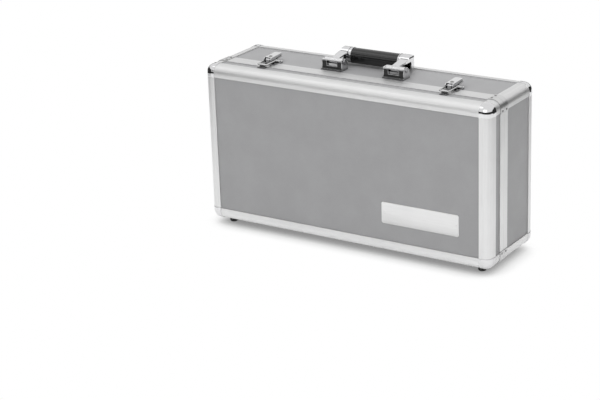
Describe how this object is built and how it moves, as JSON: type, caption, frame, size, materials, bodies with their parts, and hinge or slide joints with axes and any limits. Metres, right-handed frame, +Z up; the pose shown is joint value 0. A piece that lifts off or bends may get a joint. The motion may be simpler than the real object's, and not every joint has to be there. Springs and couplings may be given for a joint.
{
  "type": "guitar pedal case",
  "caption": "Upright carrying case with slotted panels in rounded metal edge profiles, a front lid on bottom hinges, draw latches with key locks, a folding handle and foam lining.",
  "frame": {"origin": "bottom centre of the bounding box, on the plane that the feet stand on", "axes": "+X along the case to the right as seen from the lid, -Y out of the lid's front face, +Z up"},
  "size_m": [0.5116, 0.1492, 0.2958],
  "materials": {
    "panel": "grey laminate with a fine pebble grain",
    "aluminium": "satin anodised extrusion",
    "chrome": "bright chrome plate",
    "steel": "zinc-plated steel",
    "grip": "black moulded plastic, fine texture",
    "rubber": "black rubber",
    "foam": "dark lining foam",
    "brass": "nickel-plated brass"
  },
  "bodies": {
    "base": {"base_back_panel": "panel", "base_top_panel": "panel", "base_bottom_panel": "panel", "base_left_panel": "panel", "base_right_panel": "panel", "base_back_edge_top": "aluminium", "base_back_edge_bottom": "aluminium", "base_back_edge_left": "aluminium", "base_back_edge_right": "aluminium", "base_depth_edges": "aluminium", "base_rim_top": "aluminium", "base_rim_bottom": "aluminium", "base_rim_sides": "aluminium", "base_rim_bends": "aluminium", "base_rim_clamps": "chrome", "base_ball_corners": "chrome", "base_foam_pad": "foam", "base_foam_walls": "foam", "base_feet": "rubber", "base_hinge_leaves": "steel", "hinge_pins": "steel", "handle_bracket_left": "chrome", "handle_bracket_right": "chrome", "handle_pins": "steel", "latch_base_left": "chrome", "latch_base_right": "chrome", "latch_pins": "steel"},
    "lid": {"lid_front_panel": "panel", "lid_top_panel": "panel", "lid_bottom_panel": "panel", "lid_left_panel": "panel", "lid_right_panel": "panel", "lid_front_edge_top": "aluminium", "lid_front_edge_bottom": "aluminium", "lid_front_edge_left": "aluminium", "lid_front_edge_right": "aluminium", "lid_depth_edges": "aluminium", "lid_rim_top": "aluminium", "lid_rim_bottom": "aluminium", "lid_rim_sides": "aluminium", "lid_rim_bends": "aluminium", "lid_rim_clamps": "chrome", "lid_ball_corners": "chrome", "lid_foam_pad": "foam", "lid_foam_walls": "foam", "lid_feet": "rubber", "lid_hinge_leaves": "steel", "latch_catch_left": "chrome", "latch_catch_right": "chrome"},
    "handle": {"handle_arm_left": "chrome", "handle_arm_right": "chrome", "handle_grip": "grip", "handle_core": "steel"},
    "lever_left": {"latch_lever_left": "chrome"},
    "loop_left": {"latch_loop_left": "chrome"},
    "lock_left": {"lock_cylinder_left": "brass"},
    "lever_right": {"latch_lever_right": "chrome"},
    "loop_right": {"latch_loop_right": "chrome"},
    "lock_right": {"lock_cylinder_right": "brass"}
  },
  "joints": [
    {"name": "lid_hinge", "type": "hinge", "parent": "base", "child": "lid", "pos_m": [0, -0.029, 0.0068], "axis": [1, 0, 0], "range_deg": [0, 160]},
    {"name": "handle_fold", "type": "hinge", "parent": "base", "child": "handle", "pos_m": [0, 0.0005, 0.2822], "axis": [1, 0, 0], "range_deg": [0, 85]},
    {"name": "latch_lever_left", "type": "hinge", "parent": "base", "child": "lever_left", "pos_m": [-0.163, -0.025, 0.2765], "axis": [1, 0, 0], "range_deg": [0, 100]},
    {"name": "latch_loop_left", "type": "hinge", "parent": "lever_left", "child": "loop_left", "pos_m": [-0.163, -0.01712, 0.27447], "axis": [1, 0, 0], "range_deg": [-125, 0]},
    {"name": "lock_turn_left", "type": "hinge", "parent": "lever_left", "child": "lock_left", "pos_m": [-0.163, -0.0186, 0.27672], "axis": [0, -0.0349, 0.9994], "range_deg": [0, 90]},
    {"name": "latch_lever_right", "type": "hinge", "parent": "base", "child": "lever_right", "pos_m": [0.163, -0.025, 0.2765], "axis": [1, 0, 0], "range_deg": [0, 100]},
    {"name": "latch_loop_right", "type": "hinge", "parent": "lever_right", "child": "loop_right", "pos_m": [0.163, -0.01712, 0.27447], "axis": [1, 0, 0], "range_deg": [-125, 0]},
    {"name": "lock_turn_right", "type": "hinge", "parent": "lever_right", "child": "lock_right", "pos_m": [0.163, -0.0186, 0.27672], "axis": [0, -0.0349, 0.9994], "range_deg": [-90, 0]}
  ],
  "couplings": [
    {"joint": "latch_loop_left", "follows": "latch_lever_left", "ratio": -1.25},
    {"joint": "latch_loop_right", "follows": "latch_lever_right", "ratio": -1.25}
  ]
}
